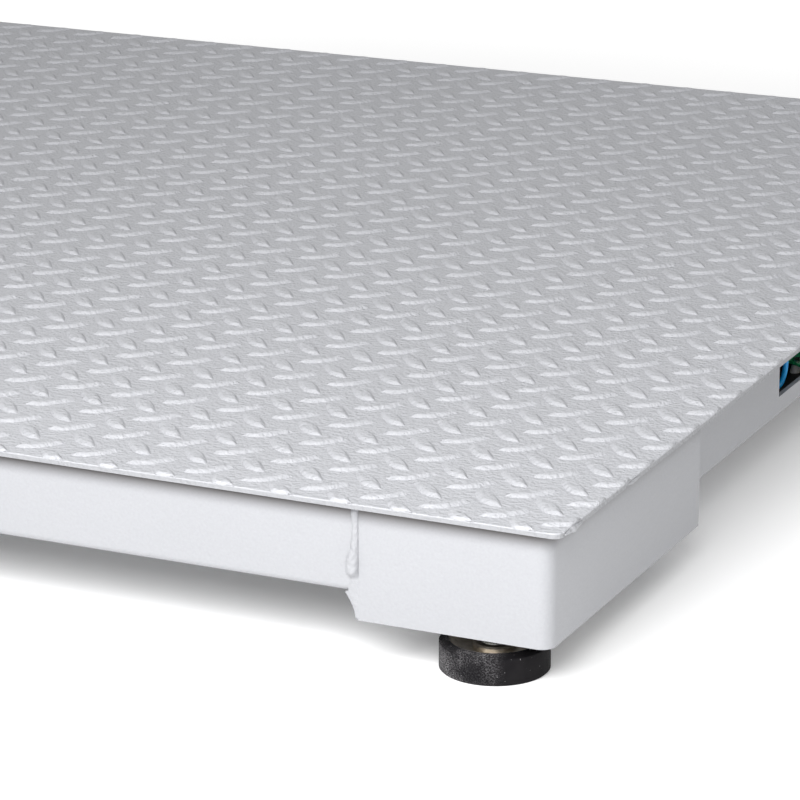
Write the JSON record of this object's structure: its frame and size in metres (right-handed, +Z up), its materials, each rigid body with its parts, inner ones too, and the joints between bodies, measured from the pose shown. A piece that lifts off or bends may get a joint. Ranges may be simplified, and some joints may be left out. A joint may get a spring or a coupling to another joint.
{
  "type": "platform shipping scale",
  "caption": "Low square steel weighing platform: raised-pattern deck on channel beams, folded corner boxes over load cells, round swivel feet on levelling screws.",
  "frame": {"origin": "on the floor under the middle of the deck, with the feet at their rest height", "axes": "+Z up; +X towards the side beam with the junction-box window; -Y is the front"},
  "size_m": [1.011, 1.011, 0.094],
  "materials": {
    "powder_coat": "fine-textured powder coat",
    "cell_steel": "nickel plated",
    "zinc_steel": "zinc plated",
    "dish_steel": "bare pressed steel, slightly tarnished",
    "pad_rubber": "matt, scuffed",
    "black_nylon": "matt",
    "board_green": "solder mask",
    "terminal_green": "moulded",
    "trimmer_blue": "moulded",
    "white_nylon": "moulded",
    "lead_blue": "smooth PVC jacket"
  },
  "bodies": {
    "platform": {"deck_plate": "powder_coat", "front_beam": "powder_coat", "rear_beam": "powder_coat", "left_beam": "powder_coat", "right_beam": "powder_coat", "corner_weld_beads": "powder_coat", "deck_rib_far_left": "powder_coat", "deck_rib_left": "powder_coat", "deck_rib_right": "powder_coat", "deck_rib_far_right": "powder_coat", "corner_box_front_right": "powder_coat", "corner_box_front_left": "powder_coat", "corner_box_rear_right": "powder_coat", "corner_box_rear_left": "powder_coat", "cell_mount_plate_front_right": "powder_coat", "cell_mount_plate_front_left": "powder_coat", "cell_mount_plate_rear_right": "powder_coat", "cell_mount_plate_rear_left": "powder_coat", "load_cell_front_right": "cell_steel", "load_cell_front_left": "cell_steel", "load_cell_rear_right": "cell_steel", "load_cell_rear_left": "cell_steel", "cell_spacers": "zinc_steel", "gauge_covers": "cell_steel", "cell_glands": "zinc_steel", "cell_bolts": "zinc_steel", "cell_washers": "zinc_steel", "foot_lock_nuts": "zinc_steel", "junction_box": "black_nylon", "junction_box_screws": "zinc_steel", "summing_board": "board_green", "board_standoffs": "white_nylon", "board_screws": "zinc_steel", "terminal_blocks": "terminal_green", "trimmers": "trimmer_blue", "junction_box_glands": "black_nylon", "indicator_gland": "black_nylon", "cable_grommets": "pad_rubber", "cable_clips": "black_nylon", "load_cell_lead_front_right": "lead_blue", "load_cell_lead_front_left": "lead_blue", "load_cell_lead_rear_right": "lead_blue", "load_cell_lead_rear_left": "lead_blue"},
    "foot_ring_front_right": {"foot_dust_ring_front_right": "pad_rubber"},
    "foot_stud_front_right": {"foot_stud_front_right": "zinc_steel"},
    "foot_base_front_right": {"foot_dish_front_right": "dish_steel", "foot_pad_front_right": "pad_rubber"},
    "foot_ring_front_left": {"foot_dust_ring_front_left": "pad_rubber"},
    "foot_stud_front_left": {"foot_stud_front_left": "zinc_steel"},
    "foot_base_front_left": {"foot_dish_front_left": "dish_steel", "foot_pad_front_left": "pad_rubber"},
    "foot_ring_rear_right": {"foot_dust_ring_rear_right": "pad_rubber"},
    "foot_stud_rear_right": {"foot_stud_rear_right": "zinc_steel"},
    "foot_base_rear_right": {"foot_dish_rear_right": "dish_steel", "foot_pad_rear_right": "pad_rubber"},
    "foot_ring_rear_left": {"foot_dust_ring_rear_left": "pad_rubber"},
    "foot_stud_rear_left": {"foot_stud_rear_left": "zinc_steel"},
    "foot_base_rear_left": {"foot_dish_rear_left": "dish_steel", "foot_pad_rear_left": "pad_rubber"}
  },
  "joints": [
    {"name": "foot_height_front_right", "type": "slide", "parent": "platform", "child": "foot_ring_front_right", "axis": [0, 0, -1], "range_m": [-0.004, 0.012]},
    {"name": "foot_screw_front_right", "type": "hinge", "parent": "foot_ring_front_right", "child": "foot_stud_front_right", "pos_m": [0.453, -0.468, 0.03], "axis": [0, 0, 1], "range_deg": [-2500, 840]},
    {"name": "foot_swivel_front_right", "type": "hinge", "parent": "foot_ring_front_right", "child": "foot_base_front_right", "pos_m": [0.453, -0.468, 0.012], "axis": [1, 0, 0], "range_deg": [-5, 5]},
    {"name": "foot_height_front_left", "type": "slide", "parent": "platform", "child": "foot_ring_front_left", "axis": [0, 0, -1], "range_m": [-0.004, 0.012]},
    {"name": "foot_screw_front_left", "type": "hinge", "parent": "foot_ring_front_left", "child": "foot_stud_front_left", "pos_m": [-0.453, -0.468, 0.03], "axis": [0, 0, 1], "range_deg": [-2500, 840]},
    {"name": "foot_swivel_front_left", "type": "hinge", "parent": "foot_ring_front_left", "child": "foot_base_front_left", "pos_m": [-0.453, -0.468, 0.012], "axis": [1, 0, 0], "range_deg": [-5, 5]},
    {"name": "foot_height_rear_right", "type": "slide", "parent": "platform", "child": "foot_ring_rear_right", "axis": [0, 0, -1], "range_m": [-0.004, 0.012]},
    {"name": "foot_screw_rear_right", "type": "hinge", "parent": "foot_ring_rear_right", "child": "foot_stud_rear_right", "pos_m": [0.453, 0.468, 0.03], "axis": [0, 0, 1], "range_deg": [-2500, 840]},
    {"name": "foot_swivel_rear_right", "type": "hinge", "parent": "foot_ring_rear_right", "child": "foot_base_rear_right", "pos_m": [0.453, 0.468, 0.012], "axis": [1, 0, 0], "range_deg": [-5, 5]},
    {"name": "foot_height_rear_left", "type": "slide", "parent": "platform", "child": "foot_ring_rear_left", "axis": [0, 0, -1], "range_m": [-0.004, 0.012]},
    {"name": "foot_screw_rear_left", "type": "hinge", "parent": "foot_ring_rear_left", "child": "foot_stud_rear_left", "pos_m": [-0.453, 0.468, 0.03], "axis": [0, 0, 1], "range_deg": [-2500, 840]},
    {"name": "foot_swivel_rear_left", "type": "hinge", "parent": "foot_ring_rear_left", "child": "foot_base_rear_left", "pos_m": [-0.453, 0.468, 0.012], "axis": [1, 0, 0], "range_deg": [-5, 5]}
  ],
  "couplings": [
    {"joint": "foot_screw_front_right", "follows": "foot_height_front_right", "rad_per_m": -3590.4},
    {"joint": "foot_screw_front_left", "follows": "foot_height_front_left", "rad_per_m": -3590.4},
    {"joint": "foot_screw_rear_right", "follows": "foot_height_rear_right", "rad_per_m": -3590.4},
    {"joint": "foot_screw_rear_left", "follows": "foot_height_rear_left", "rad_per_m": -3590.4}
  ]
}
